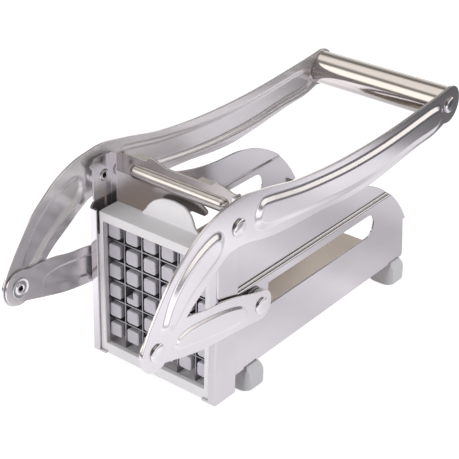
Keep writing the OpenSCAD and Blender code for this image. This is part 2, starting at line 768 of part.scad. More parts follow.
module link_outline() polygon(concat(
    link_upper, between(slide, link_back_r, 62, -80, 10),
    link_lower, between(link_start, link_front_r, -70, -298, 16)));

module link() stand() difference() {
    pressed_plate(link_in, link_out, link_panels) link_outline();
    at(link_start) bar(link_in - beyond, link_out + beyond, pin_r + running);
    at(slide) bar(link_in - beyond, link_out + beyond, pin_r + seat);
}

module link_right() color(STEEL) link();
module link_left() color(STEEL) mirror([1, 0, 0]) link();

// Outer half of each slide pin, seated in the link
module link_end_pins() color(CHROME) stand() both() at(slide) {
    bar(link_in, link_out, pin_r);
    dome(link_out, head_r, head_h);
}

// ---- pusher ----

// Moulded block: square pegs that pass between the blades, on a backing plate
module pusher_block() color(PEGS) stand() difference() {
    union() {
        block([-block_half, block_front, -block_half], [block_half, carrier_y, block_half]);
        for (x = spread(sticks, stick), z = spread(sticks, stick)) translate([x, 0, z])
            along(-peg_reach, block_front + beyond) polygon(rounded(peg, peg, peg_corner, 3));
    }
    carrier_holes(carrier_y - screw_depth - seat, carrier_y + beyond);
    translate([marked_peg[0] - peg / 2, -peg_reach, marked_peg[1] + peg / 2])
        block([-beyond, -beyond, -peg_notch], [peg_notch, frame_back, beyond]);
}

// Peg with a notched corner: second from the left, fourth from the top
marked_peg = [spread(sticks, stick)[1], spread(sticks, stick)[sticks - 4]];

screw_places = [for (x = [-1, 1], z = [-1, 1]) [x * stick * 1.5, z * stick * 1.5]];

module carrier_holes(y0, y1) for (p = screw_places)
    translate([p[0], y0, p[1]]) rotate([-90, 0, 0]) cylinder(h = y1 - y0, r = screw_r + seat);

// Heights between which the carrier's ears leave its back plate
neck = [slide_z - 0.6 * ear_drop, slide_z + pin_r / 2];

// Bent carrier: back plate with an ear along each side wall
module pusher_carrier() color(STEEL) stand() difference() {
    union() {
        block([-block_half, carrier_y, -carrier_half], [block_half, carrier_y + sheet, carrier_half]);
        block([-ear_out, carrier_y, neck[0]], [ear_out, carrier_y + sheet, neck[1]]);
        both() across(ear_in, ear_out) polygon([
            [carrier_y, neck[0]], slide + [ear_reach, -ear_drop], slide + [ear_reach, ear_rise],
            slide + [ear_reach / 3, ear_rise], slide + [-pin_r, pin_head_r],
            [carrier_y, neck[1]]]);
    }
    carrier_holes(carrier_y - beyond, carrier_y + sheet + beyond);
    both() at(slide) bar(ear_in - beyond, ear_out + beyond, pin_r + seat);
}

module carrier_screws() color(CHROME) stand() for (p = screw_places)
    translate([p[0], carrier_y + sheet, p[1]]) rotate([90, 0, 0]) {
        cylinder(h = screw_depth, r = screw_r);
        translate([0, 0, -screw_head_h]) cylinder(h = screw_head_h, r = screw_head_r);
    }

bush_out = post_out + axial;

// Flanged bush that slides in the window
module slide_bushes() color(FRAME) stand() both() at(slide) difference() {
    union() {
        bar(ear_out + seat, panel_out + clear, bush_r);
        bar(panel_out + clear, bush_out, bush_flange_r);
    }
    bar(ear_out - beyond, bush_out + beyond, pin_r + seat);
}

// Inner half of each slide pin, carried by the ear and the bush
module slide_pins() color(CHROME) stand() both() at(slide) {
    bar(ear_in - sheet, ear_in, pin_head_r);
    bar(ear_in, bush_out, pin_r);
    bar(bush_out, link_in - clear, pin_head_r);
}

side_wall_right();
side_wall_left();
floor_plate();
crossbar();
grid_frame();
blades_upright();
blades_level();
foot_front_right();
foot_front_left();
foot_rear_right();
foot_rear_left();
foot_screws();
pivot_rivets();
pivot_spacers();
lever_arm_right();
lever_arm_left();
grip_tube();
grip_plugs();
grip_spindle();
grip_screws();
link_rivets();
link_right();
link_left();
link_end_pins();
pusher_block();
pusher_carrier();
carrier_screws();
slide_bushes();
slide_pins();
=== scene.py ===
import math

import bmesh
import bpy
from mathutils import Matrix, Vector
from mathutils.geometry import tessellate_polygon


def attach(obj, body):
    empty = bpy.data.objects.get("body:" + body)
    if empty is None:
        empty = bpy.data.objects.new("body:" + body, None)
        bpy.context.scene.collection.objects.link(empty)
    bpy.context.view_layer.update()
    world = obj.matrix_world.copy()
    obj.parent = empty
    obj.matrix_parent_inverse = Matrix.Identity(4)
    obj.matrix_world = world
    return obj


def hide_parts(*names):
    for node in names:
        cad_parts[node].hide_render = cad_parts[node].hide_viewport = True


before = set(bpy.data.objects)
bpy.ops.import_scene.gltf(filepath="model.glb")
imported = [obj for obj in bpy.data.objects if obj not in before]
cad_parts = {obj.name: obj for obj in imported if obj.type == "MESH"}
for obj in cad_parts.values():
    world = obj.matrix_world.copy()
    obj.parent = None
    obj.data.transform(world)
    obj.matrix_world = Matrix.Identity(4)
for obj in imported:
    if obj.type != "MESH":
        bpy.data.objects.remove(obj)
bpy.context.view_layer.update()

# ---- the frame's own measures, in millimetres from the middle of the blade grid ----

MM = 0.001
BLADE_Y = -78.6516
GRID_Z = 52.0

STICK = 12.5
STICKS = 6
SHEET = 1.2
CLEAR = 0.3
FRAME_FRONT = 5.1
FRAME_BACK = 9.6
POST_OUT = 44.0
POST_STEP = 1.9
PANEL_OUT = POST_OUT - POST_STEP
LEDGE_Z, LEDGE_RISE, LEDGE_STEP = 16.7, 3.7, 2.1
UPPER_OUT = PANEL_OUT - LEDGE_STEP
LINK_IN, LINK_OUT = 45.0, 46.2
ARM_IN, ARM_OUT = 46.5, 48.0


def vec(u, v):
    return Vector((u, v))


def turned(angle):
    return vec(math.cos(math.radians(angle)), math.sin(math.radians(angle)))


def mix(a, b, t):
    return a + (b - a) * t


PIVOT = vec(4.5, 59.4)
PIN_R = 2.7
PIN_HEAD_R = 1.55 * PIN_R
CRANK, CRANK_SLOPE = 75.55, 34.32
LINK_START = PIVOT - CRANK * turned(CRANK_SLOPE)
BLOCK_FRONT = FRAME_BACK + 2 * CLEAR
BLOCK_T = 5.5
SLIDE_ROOM, SLIDE_Z = 7.8, 1.4
SLIDE = vec(BLOCK_FRONT + BLOCK_T + SHEET + SLIDE_ROOM + PIN_HEAD_R, SLIDE_Z)
HANDLE_REACH, HANDLE_DROP = 209.5, 2.1
GRIP = PIVOT + vec(HANDLE_REACH, -HANDLE_DROP)
# points closer than this are one point
SAME = 0.02
# keeps the sharp corners of an inset loop from running far out
MITER_LIMIT = 0.5


def through(knots, n):
    """Smooth curve through knots, n steps between each two."""
    out = []
    last = len(knots) - 1
    for i in range(last):
        a, b = knots[max(i - 1, 0)], knots[i]
        c, d = knots[i + 1], knots[min(i + 2, last)]
        for j in range(n):
            t = j / n
            out.append((2 * b + (c - a) * t + (2 * a - 5 * b + 4 * c - d) * t * t
                        + (3 * b - a - 3 * c + d) * t ** 3) / 2)
    return out + [knots[last]]


def closed(knots, n=8):
    """Smooth closed curve through knots."""
    whole = through(knots[-2:] + knots + knots[:2], n)
    return whole[2 * n:-1 - n]


def arc(centre, r, start, end, n):
    return [centre + r * turned(mix(start, end, i / n)) for i in range(n + 1)]


def tidy_loop(loop):
    """The loop without doubled points, anticlockwise."""
    out = []
    for p in loop:
        if not out or (p - out[-1]).length > SAME:
            out.append(p.copy())
    if (out[0] - out[-1]).length <= SAME:
        out.pop()
    area = sum(a.x * b.y - b.x * a.y for a, b in zip(out, out[1:] + out[:1]))
    return out if area > 0 else out[::-1]


def inset(loop, d):
    """Moves a closed anticlockwise loop inwards by d."""
    out = []
    for i, b in enumerate(loop):
        a, c = loop[i - 1], loop[(i + 1) % len(loop)]
        e1, e2 = (b - a).normalized(), (c - b).normalized()
        m = vec(-e1.y - e2.y, e1.x + e2.x)
        out.append(b + m * (d / max(m.length_squared / 2, MITER_LIMIT)))
    return out


# ---- light levels ----

# the floor's own glow for the camera, and the world's light for diffuse rays
FLOOR_GLOW = 0.8
WORLD_LIGHT = 0.44
# These levels are painted reflections: the bright and dark bands they put on the steel are painted
# light and shade.
# Glossy rays don't see the white backdrop. They see these graded levels, which were set
# until the bands on the steel fell as in the photograph, and so are fitted to that view.
# The sky, as (sine of the elevation, strength), in four quarters:
SKY_BACK_RIGHT = [(0.0, 1.28), (0.26, 1.25), (0.35, 0.4), (0.42, 0.06), (0.8, 0.14), (0.9, 0.6),
                  (1.0, 0.9)]
SKY_FRONT_RIGHT = [(0.0, 0.15), (0.5, 0.1), (0.75, 0.12), (0.88, 0.6), (1.0, 0.9)]
SKY_FRONT_LEFT = [(0.0, 0.25), (0.06, 0.3), (0.13, 1.6), (0.56, 1.6), (0.66, 0.28), (0.76, 0.3),
                  (0.84, 1.2), (1.0, 0.9)]
SKY_BACK_LEFT = [(0.0, 1.35), (0.12, 1.35), (0.25, 0.75), (0.45, 0.5), (0.58, 0.3), (0.7, 0.16),
                 (0.78, 0.4), (0.85, 1.2), (1.0, 0.9)]
SKY_TINT = (1.0, 0.96, 0.92)
# how one quarter passes into the next, by the direction's X or Y
SKY_SEAM = [(-0.1, 0), (0.12, 1)]
# The floor, as (place in metres, strength), along and across the cutter. The two multiply. Their
# dips near the cutter are a painted shadow of it, seen in the steel.
FLOOR_TINT = (0.97, 0.95, 1.0)
FLOOR_ALONG = [(-0.6, 0.22), (-0.45, 0.5), (-0.35, 1.1), (-0.2, 1.25), (-0.12, 1.2), (-0.06, 1.1),
               (-0.02, 1.1), (0.03, 0.95), (0.05, 1.02), (0.07, 1.12), (0.09, 0.92), (0.11, 0.88),
               (0.13, 0.76), (0.155, 0.76), (0.17, 0.9), (0.19, 1.0), (0.26, 0.97), (1.0, 0.85)]
FLOOR_ACROSS = [(-0.6, 0.3), (-0.42, 1.1), (-0.1, 1.25), (-0.05, 0.95), (0.0, 0.82), (0.03, 0.9),
                (0.066, 0.97), (0.076, 0.91), (0.12, 0.95), (0.17, 1.12), (0.19, 1.05), (0.21, 0.5),
                (0.245, 0.5), (0.285, 1.1), (0.33, 1.35), (1.0, 1.35)]
# A third factor ends the bright part behind the cutter, by Y + FLOOR_SLANT * X.
FLOOR_SLANT = 0.35
FLOOR_END = [(-1.0, 1.0), (0.305, 1.0), (0.335, 0.35), (0.39, 0.18), (1.0, 0.15)]

# ---- mesh building ----

EDGE_STEPS = 3
FOLD_STEPS = 6
PLATE_EDGE = 0.3
# how much smaller a panel's hollow is than its front, as a share of the plate's thickness
HOLLOW_INSET = 0.3


def band(bm, rings):
    """Quads between successive rings of vertices."""
    for a, b in zip(rings, rings[1:]):
        for i in range(len(a)):
            j = (i + 1) % len(a)
            bm.faces.new((a[i], a[j], b[j], b[i]))


def fill(bm, rings):
    """Flat face inside the first ring, with the other rings as holes."""
    flat = [v for r in rings for v in r]
    for tri in tessellate_polygon([[v.co for v in r] for r in rings]):
        if len(set(tri)) == 3:
            bm.faces.new([flat[i] for i in tri])


def pressing(rise, run, radius):
    """Steps (growth, height) of a pressed panel's rim, with rounded folds."""
    slope = math.atan2(rise, run)
    reach = radius * math.tan(slope / 2)
    steps = []
    for k in range(FOLD_STEPS + 1):
        q = slope * k / FOLD_STEPS
        steps.append((reach - radius * math.sin(q), radius * (1 - math.cos(q))))
    for k in range(FOLD_STEPS + 1):
        q = slope * (1 - k / FOLD_STEPS)
        steps.append((-run - reach + radius * math.sin(q), rise - radius * (1 - math.cos(q))))
    return steps


def slab(outline, holes, t, r, panels=(), rise=0.9, run=2.0, radius=2.2, top_only=False):
    """A plate with rounded edges and pressed panels in (u, v, w), where w runs from 0 to t."""
    bm = bmesh.new()

    def ring(points, w):
        return [bm.verts.new((p.x, p.y, w)) for p in points]

    tops, bottoms = [], []
    for loop, sign in [(outline, 1)] + [(h, -1) for h in holes]:
        loop = tidy_loop(loop)
        quarter = [math.radians(90 * k / EDGE_STEPS) for k in range(EDGE_STEPS + 1)]
        rings = [ring(inset(loop, sign * r * (1 - math.sin(q))), t - r * (1 - math.cos(q)))
                 for q in quarter]
        if top_only:
            rings.append(ring(loop, 0))
        else:
            rings += [ring(inset(loop, sign * r * (1 - math.sin(q))), r * (1 - math.cos(q)))
                      for q in quarter[::-1]]
        band(bm, rings)
        tops.append(rings[0])
        bottoms.append(rings[-1])
    for loop in panels:
        loop = tidy_loop(loop)
        for base, shrink, group in ((t, 0, tops), (0, HOLLOW_INSET * t, bottoms)):
            rings = [ring(inset(loop, shrink - g), base + h)
                     for g, h in pressing(rise, run - 2 * shrink, radius)]
            band(bm, rings)
            fill(bm, [rings[-1]])
            group.append(rings[0])
    fill(bm, tops)
    fill(bm, bottoms)
    return bm


def put(bm, matrix):
    bmesh.ops.transform(bm, matrix=matrix, verts=bm.verts)
    return bm


# (u, v, w) of a side plate to (Y, Z, X) of the cutter
SIDE = Matrix(((0, 0, 1, 0), (1, 0, 0, 0), (0, 1, 0, 0), (0, 0, 0, 1)))
# (u, v, w) of a front-facing plate to (X, Z, -Y)
FRONT = Matrix(((1, 0, 0, 0), (0, 0, -1, 0), (0, 1, 0, 0), (0, 0, 0, 1)))
MIRROR = Matrix.Scale(-1, 4, (1, 0, 0))


def lathe(bm, centre, profile, steps=48):
    """Round piece along X about a (Y, Z) centre, from points (x, r)."""
    rings = []
    for x, r in profile:
        if r <= 0:
            rings.append([bm.verts.new((x, centre.x, centre.y))])
            continue
        rings.append([bm.verts.new((x, centre.x + r * math.cos(2 * math.pi * k / steps),
                                    centre.y + r * math.sin(2 * math.pi * k / steps)))
                      for k in range(steps)])
    for a, b in zip(rings, rings[1:]):
        for i in range(steps):
            j = (i + 1) % steps
            if len(a) == 1:
                bm.faces.new((a[0], b[j], b[i]))
            elif len(b) == 1:
                bm.faces.new((a[i], a[j], b[0]))
            else:
                bm.faces.new((a[i], a[j], b[j], b[i]))


def join(parts):
    """One bmesh from several."""
    whole = bmesh.new()
    for bm in parts:
        mesh = bpy.data.meshes.new("part")
        bm.to_mesh(mesh)
        bm.free()
        whole.from_mesh(mesh)
        bpy.data.meshes.remove(mesh)
    return whole


# a face looks inwards when its normal leans this far towards the middle plane
INWARDS = 0.3


def finish_piece(obj, body, material, nodes, inner=None):
    """Gives a piece its finish; inner is a less metallic copy of the material, which makes the faces
    that look towards the middle plane lighter: painted light.
    """
    obj.data.materials.clear()
    obj.data.materials.append(material)
    if inner:
        obj.data.materials.append(inner)
    for face in obj.data.polygons:
        face.use_smooth = True
        if inner and face.normal.x * face.center.x < -INWARDS * abs(face.center.x):
            face.material_index = 1
    obj.modifiers.new("normals", "WEIGHTED_NORMAL")
    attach(obj, body)
    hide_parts(*nodes)
    return obj


def piece(name, bm, body, material, nodes, mirrored=False, inner=None):
    """Object from a bmesh in millimetres from the grid middle."""
    if mirrored:
        put(bm, MIRROR)
    bmesh.ops.recalc_face_normals(bm, faces=bm.faces)
    put(bm, Matrix.Translation((0, BLADE_Y * MM, GRID_Z * MM)) @ Matrix.Scale(MM, 4))
    mesh = bpy.data.meshes.new(name)
    bm.to_mesh(mesh)
    bm.free()
    obj = bpy.data.objects.new(name, mesh)
    bpy.context.scene.collection.objects.link(obj)
    return finish_piece(obj, body, material, nodes, inner)


LEDGE_CUTS = 12
# how close a vertex lies to the ledge's flat slant, and to its ends
ON_SLANT, AT_END = 0.08, 0.01


def ledge(bm):
    """Bends the wall's slanting ledge to two round folds."""
    half = vec(LEDGE_RISE, PANEL_OUT - UPPER_OUT) / 2
    turn = 2 * math.atan2(half.y, half.x)
    radius = half.x / math.sin(turn)
    low = LEDGE_Z - LEDGE_RISE
    for k in range(LEDGE_CUTS + 1):
        z = (GRID_Z + low + LEDGE_RISE * k / LEDGE_CUTS) * MM
        whole = bm.verts[:] + bm.edges[:] + bm.faces[:]
        bmesh.ops.bisect_plane(bm, geom=whole, plane_co=(0, 0, z), plane_no=(0, 0, 1), dist=1e-7)
    for vert in bm.verts:
        x, z = abs(vert.co.x) / MM, vert.co.z / MM - GRID_Z - low
        if not AT_END < z < LEDGE_RISE - AT_END:
            continue
        flat = PANEL_OUT - 2 * half.y * z / LEDGE_RISE
        up = min(z, LEDGE_RISE - z)
        drop = radius - math.sqrt(radius ** 2 - up ** 2)
        bent = PANEL_OUT - drop if z < half.x else UPPER_OUT + drop
        for layer in (0, SHEET):
            if abs(x + layer - flat) < ON_SLANT:
                vert.co.x += math.copysign((bent - flat) * MM, vert.co.x)


def near(value, target):
    return abs(value - target) < 0.15


# edges that bend by more degrees than this are rounded, and on rubber the gentler ones too
SHARP, SHARP_RUBBER = 32, 15
# vertices closer than this are welded, and faces that bend by fewer degrees are merged
WELD_M, FLAT_DEGREES = 2e-6, 0.6


def dress(name, node, body, material, width, folds=(), change=None, angle=SHARP):
    """A copy of a CAD node with its sharp edges rounded, and its folds bent to their own radii.

    Each fold is (radius, steps, {axis: place in millimetres}), with |X| for axis 0."""
    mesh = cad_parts[node].data.copy()
    bm = bmesh.new()
    bm.from_mesh(mesh)
    bmesh.ops.remove_doubles(bm, verts=bm.verts, dist=WELD_M)
    bmesh.ops.dissolve_limit(bm, angle_limit=math.radians(FLAT_DEGREES), verts=bm.verts,
                             edges=bm.edges)

    def place(vert):
        return abs(vert.co.x) / MM, vert.co.y / MM - BLADE_Y, vert.co.z / MM - GRID_Z

    for radius, steps, where in folds:
        edges = [e for e in bm.edges if e.calc_length() > 3 * radius * MM
                 and all(near(place(v)[axis], at) for v in e.verts for axis, at in where.items())]
        bmesh.ops.bevel(bm, geom=edges, offset=radius * MM, offset_type="OFFSET", segments=steps,
                        profile=0.5, affect="EDGES", clamp_overlap=True)
    if change:
        change(bm)
    bm.to_mesh(mesh)
    bm.free()
    mesh.name = name
    obj = bpy.data.objects.new(name, mesh)
    bpy.context.scene.collection.objects.link(obj)
    bevel = obj.modifiers.new("edges", "BEVEL")
    bevel.width = width * MM
    bevel.segments = EDGE_STEPS
    bevel.limit_method = "ANGLE"
    bevel.angle_limit = math.radians(angle)
    bevel.use_clamp_overlap = False
    bevel.miter_outer = "MITER_ARC"
    return finish_piece(obj, body, material, [node])


# ---- materials ----


def nodes_of(material):
    tree = material.node_tree
    return tree.nodes, tree.links, tree.nodes["Principled BSDF"]


BROAD_SIZE = 22
RELIEF_M = 0.0002


def grained(name, color, metallic, rough, spread, stretch, size, bump, tint=0.05):
    """Surface with directional grain: stretch is the grain's scale along X, Y and Z."""
    material = bpy.data.materials.new(name)
    material.use_nodes = True
    nodes, links, shader = nodes_of(material)
    shader.inputs["Metallic"].default_value = metallic
    place = nodes.new("ShaderNodeTexCoord")
    mapping = nodes.new("ShaderNodeMapping")
    mapping.inputs["Scale"].default_value = stretch
    links.new(place.outputs["Object"], mapping.inputs["Vector"])
    fine = nodes.new("ShaderNodeTexNoise")
    fine.inputs["Scale"].default_value = size
    fine.inputs["Detail"].default_value = 4
    links.new(mapping.outputs["Vector"], fine.inputs["Vector"])
    broad = nodes.new("ShaderNodeTexNoise")
    broad.inputs["Scale"].default_value = BROAD_SIZE
    broad.inputs["Detail"].default_value = 3
    links.new(place.outputs["Object"], broad.inputs["Vector"])
    ramp = nodes.new("ShaderNodeValToRGB")
    shades = [c * (1 - tint) for c in color], [min(1, c * (1 + tint)) for c in color]
    for stop, at, shade in zip(ramp.color_ramp.elements, (0.35, 0.65), shades):
        stop.position = at
        stop.color = (*shade, 1)
    links.new(broad.outputs["Fac"], ramp.inputs["Fac"])
    links.new(ramp.outputs["Color"], shader.inputs["Base Color"])
    rough_range = nodes.new("ShaderNodeMapRange")
    for socket, value in (("From Min", 0.3), ("From Max", 0.7),
                          ("To Min", rough - spread), ("To Max", rough + spread)):
        rough_range.inputs[socket].default_value = value
    links.new(fine.outputs["Fac"], rough_range.inputs["Value"])
    links.new(rough_range.outputs["Result"], shader.inputs["Roughness"])
    relief = nodes.new("ShaderNodeBump")
    relief.inputs["Strength"].default_value = bump
    relief.inputs["Distance"].default_value = RELIEF_M
    links.new(fine.outputs["Fac"], relief.inputs["Height"])
    links.new(relief.outputs["Normal"], shader.inputs["Normal"])
    return material


BODY_STEEL = grained("body_steel", (0.655, 0.63, 0.645), 1.0, 0.15, 0.02, (1, 0.06, 1), 1600, 0.01,
                     tint=0.02)
ARM_STEEL = grained("arm_steel", (0.79, 0.76, 0.775), 1.0, 0.16, 0.02, (1, 0.1, 1), 1500, 0.01,
                    tint=0.02)
# a less metallic copy of the arm steel, which lightens the faces turned to the middle: painted light
PAINTED_LIGHT_INNER_STEEL = grained("painted_light_inner_steel", (0.76, 0.73, 0.74), 0.65, 0.2, 0.02, (1, 0.1, 1), 1500, 0.01,
                      tint=0.02)
BAR_STEEL = grained("bar_steel", (0.7, 0.67, 0.65), 1.0, 0.25, 0.03, (0.06, 1, 1), 1500, 0.04,
                    tint=0.02)
# a darker copy of the bar's steel for the plate's flat front: a painted dark reflection
PAINTED_DARK_BAR_FRONT = grained("painted_dark_bar_front", (0.46, 0.43, 0.415), 1.0, 0.22, 0.03, (0.06, 1, 1), 1500, 0.04,
                     tint=0.02)
# the floor plate's steel is lighter and warmer than the walls': a painted warm reflection
FLOOR_STEEL_PAINTED_WARM = grained("floor_steel_painted_warm", (0.84, 0.76, 0.69), 1.0, 0.4, 0.03, (1, 0.06, 1), 1600, 0.04,
                      tint=0.03)
BLADE_STEEL = grained("blade_steel", (0.36, 0.36, 0.37), 1.0, 0.3, 0.05, (0.1, 0.1, 1), 1500, 0.05)
CHROME = grained("grip_chrome", (0.68, 0.64, 0.61), 1.0, 0.14, 0.03, (0.04, 1, 1), 1500, 0.03,
                 tint=0.01)
RIVET_STEEL = grained("rivet_steel", (0.8, 0.79, 0.8), 1.0, 0.1, 0.02, (1, 1, 1), 900, 0.03)
# near-black copy of the steel for the insides of the rivets' hollows: painted shade
HOLLOW_PAINTED_SHADE = grained("hollow_painted_shade", (0.06, 0.055, 0.055), 1.0, 0.5, 0.05, (1, 1, 1), 900, 0.05)
FRAME_PLASTIC = grained("frame_plastic", (0.66, 0.645, 0.66), 0.0, 0.42, 0.05, (1, 1, 1), 1800, 0.12,
                        tint=0.015)
BLOCK_PLASTIC = grained("block_plastic", (0.45, 0.43, 0.475), 0.0, 0.38, 0.05, (1, 1, 1), 1800, 0.1,
                        tint=0.02)
BUSH_PLASTIC = grained("bush_plastic", (0.6, 0.6, 0.6), 0.0, 0.4, 0.05, (1, 1, 1), 1500, 0.1)
RUBBER = grained("foot_rubber", (0.49, 0.485, 0.505), 0.0, 0.6, 0.06, (1, 1, 1), 1500, 0.25,
                 tint=0.03)

# ---- lever arms and links ----

ARM_END_R, GRIP_END_R = 10.8, 12.0
LINK_FRONT_R, LINK_BACK_R = 10.0, 9.0
GRIP_SCREW_R = 2.5
BORE_FIT = 0.05

ARM_UPPER = through([
    LINK_START + ARM_END_R * turned(160), LINK_START + vec(-5.9, 12.2), LINK_START + vec(1.5, 23.1),
    LINK_START + vec(9.8, 33.6), LINK_START + vec(19.5, 42), PIVOT + vec(-32.1, 7.2),
    PIVOT + vec(-19.3, 12.8), PIVOT + vec(-6.4, 15.3), PIVOT + vec(5, 16),
    PIVOT + vec(25.1, 12.7), mix(PIVOT, GRIP, 0.255) + vec(0, 7.5),
    mix(PIVOT, GRIP, 0.437) + vec(0, 4.6), mix(PIVOT, GRIP, 0.656) + vec(0, 5.2),
    GRIP + vec(-22.5, 9.6), GRIP + GRIP_END_R * turned(100)], 10)
ARM_LOWER = through([
    GRIP + GRIP_END_R * turned(-110), GRIP + vec(-17, -14.6), GRIP + vec(-36, -16.1),
    mix(PIVOT, GRIP, 0.558) + vec(0, -22.7), mix(PIVOT, GRIP, 0.356) + vec(0, -19.6),
    PIVOT + vec(37.5, -17.9), PIVOT + vec(19.9, -15.2), PIVOT + vec(7.1, -12.1),
    PIVOT + vec(-5.3, -12), PIVOT + vec(-13.2, -15.2), LINK_START + vec(37, 19.5),
    LINK_START + vec(25, 11.5), LINK_START + vec(15.5, 2),
    LINK_START + ARM_END_R * turned(-40)], 10)
ARM_OUTLINE = (ARM_UPPER + arc(GRIP, GRIP_END_R, 100, -110, 36)[1:-1]
               + ARM_LOWER + arc(LINK_START, ARM_END_R, -40, -200, 32)[1:-1])
ARM_PANELS = [
    closed([vec(-54.3, 27.4), vec(-52.2, 34.6), vec(-47.4, 43.4), vec(-39.3, 52), vec(-29, 59.1),
            vec(-18.8, 63.1), vec(-12.4, 63.5), vec(-8.3, 60.3), vec(-7.4, 55), vec(-10.5, 49),
            vec(-18.8, 43.8), vec(-29.4, 38), vec(-38.2, 30.6), vec(-43.6, 25), vec(-49.4, 22.9)]),
    closed([vec(19.6, 64.2), vec(23.6, 67.8), vec(30.3, 67.4), vec(43.4, 64.9), vec(57, 62.5),
            vec(70.9, 60.8), vec(85.2, 59.4), vec(100, 58.4), vec(115, 57.9), vec(130.6, 57.9),
            vec(146.4, 58.5), vec(162.6, 59.6), vec(179.3, 61), vec(193, 62), vec(201.5, 61),
            vec(206, 56.6), vec(205.8, 50.4), vec(200.5, 45.8), vec(190, 44.4), vec(177, 43.9),
            vec(163, 42.7), vec(148.9, 41.3), vec(132.9, 40.4), vec(117.2, 40.3), vec(101.9, 40.7),
            vec(87, 41.8), vec(72.5, 43.3), vec(58.4, 45.1), vec(44.6, 46.9), vec(31.4, 48.5),
            vec(24, 50.2), vec(19.4, 53.6), vec(17.9, 59)], 5)]

LINK_UPPER = through([
    LINK_START + LINK_FRONT_R * turned(62), LINK_START + vec(24, 7.6),
    LINK_START + vec(38.6, 4.6), LINK_START + vec(52.3, 2.8), LINK_START + vec(67.4, -0.8),
    SLIDE + vec(-6.4, 10.4), SLIDE + LINK_BACK_R * turned(62)], 8)
LINK_LOWER = through([
    SLIDE + LINK_BACK_R * turned(-80), SLIDE + vec(-22.9, -5.8), SLIDE + vec(-39.6, -4.1),
    LINK_START + vec(30.3, -16.8), LINK_START + LINK_FRONT_R * turned(-70)], 8)
LINK_OUTLINE = (LINK_UPPER + arc(SLIDE, LINK_BACK_R, 62, -80, 24)[1:-1]
                + LINK_LOWER + arc(LINK_START, LINK_FRONT_R, -70, -298, 36)[1:-1])
LINK_PANELS = [
    closed([vec(-42.2, 11.8), vec(-39.6, 15.8), vec(-33, 17.5), vec(-22.9, 17.1), vec(-9, 15.3),
            vec(3.5, 12.6), vec(12, 9.4), vec(16.2, 4.9), vec(15, 0.4), vec(8.3, -0.9),
            vec(-6, 1.1), vec(-20.7, 4), vec(-35, 6.9), vec(-40.6, 8.8)], 6)]


def circle(centre, r):
    return arc(centre, r, 0, 360, 40)[:-1]


def bore(centre, r=PIN_R):
    return circle(centre, r + BORE_FIT)


for side, mirrored in (("right", False), ("left", True)):
    arm = slab(ARM_OUTLINE, [bore(PIVOT), bore(LINK_START), bore(GRIP, GRIP_SCREW_R)],
               ARM_OUT - ARM_IN, PLATE_EDGE, ARM_PANELS, rise=1.5, run=3.5, radius=4.6)
    put(arm, Matrix.Translation((ARM_IN, 0, 0)) @ SIDE)
    piece("arm_" + side, arm, "lever", ARM_STEEL, ["lever_arm_" + side], mirrored,
          PAINTED_LIGHT_INNER_STEEL)
    bar = slab(LINK_OUTLINE, [bore(LINK_START), bore(SLIDE)], LINK_OUT - LINK_IN, PLATE_EDGE,
               LINK_PANELS)
    put(bar, Matrix.Translation((LINK_IN, 0, 0)) @ SIDE)
    piece("side_link_" + side, bar, "links", ARM_STEEL, ["link_" + side], mirrored,
          PAINTED_LIGHT_INNER_STEEL)

# ---- rivets and pins ----

HEAD_R, HEAD_H, HEAD_FOOT, HEAD_UNDERCUT = 5.0, 1.6, 0.2, 0.25
HEAD_SHOULDER, HEAD_DOME = 0.42 * HEAD_R, 0.2
TAIL_T, TAIL_HOLLOW, WASHER_R, ROLL = 0.6, 2.2, 5.8, 0.7
SCREW_DEPTH = 12
# axial play under a rivet's head or washer
PLAY = 0.1


def head(x0):
    """Profile of a head with a round shoulder and a shallow dome, that stands on x0."""
    steps = [(x0, 0.0), (x0, HEAD_R - HEAD_UNDERCUT), (x0 + HEAD_FOOT, HEAD_R)]
    for k in range(1, 9):
        q = math.radians(90 * k / 8)
        steps.append((x0 + HEAD_FOOT + (HEAD_H - HEAD_FOOT - HEAD_DOME) * math.sin(q),
                      HEAD_R - HEAD_SHOULDER * (1 - math.cos(q))))
    for k in range(1, 5):
        q = k / 4
        steps.append((x0 + HEAD_H - HEAD_DOME * (1 - q) ** 2, (HEAD_R - HEAD_SHOULDER) * (1 - q)))
    return steps


def pair(build):
    """The same build on both sides."""
    parts = []
    for mirrored in (False, True):
        bm = bmesh.new()
        build(bm)
        if mirrored:
            put(bm, MIRROR)
        parts.append(bm)
    return join(parts)


def tail(x):
    """Profile of a tubular rivet's rolled tail, from the bottom of its hollow to the face x."""
    hollow, ring = PIN_R / 2, PIN_R + ROLL
    mid, half = (hollow + ring) / 2, (ring - hollow) / 2
    steps = [(x + TAIL_HOLLOW, 0.0), (x + TAIL_HOLLOW, hollow)]
    for k in range(9):
        q = math.radians(180 * k / 8)
        steps.append((x + TAIL_T * (1 - math.sin(q)), mid - half * math.cos(q)))
    return steps


def pivot_rivet(bm):
    face = POST_OUT - SHEET
    lathe(bm, PIVOT, tail(face - TAIL_T) + [(face, PIN_R), (ARM_OUT + PLAY, PIN_R),
                                            (ARM_OUT + PLAY, 0)])
    lathe(bm, PIVOT, head(ARM_OUT + PLAY))


def link_rivet(bm):
    face = LINK_IN - PLAY
    dish = [(face - 0.12, PIN_R + ROLL + 0.3), (face - 0.1, WASHER_R - 1.2),
            (face - 0.45, WASHER_R - 0.6), (face - 0.5, WASHER_R - 0.25), (face - 0.3, WASHER_R)]
    lathe(bm, LINK_START, tail(face - TAIL_T)[:-1] + dish + [(face, WASHER_R), (face, PIN_R),
                                                             (ARM_OUT, PIN_R), (ARM_OUT, 0)])
    lathe(bm, LINK_START, head(ARM_OUT))


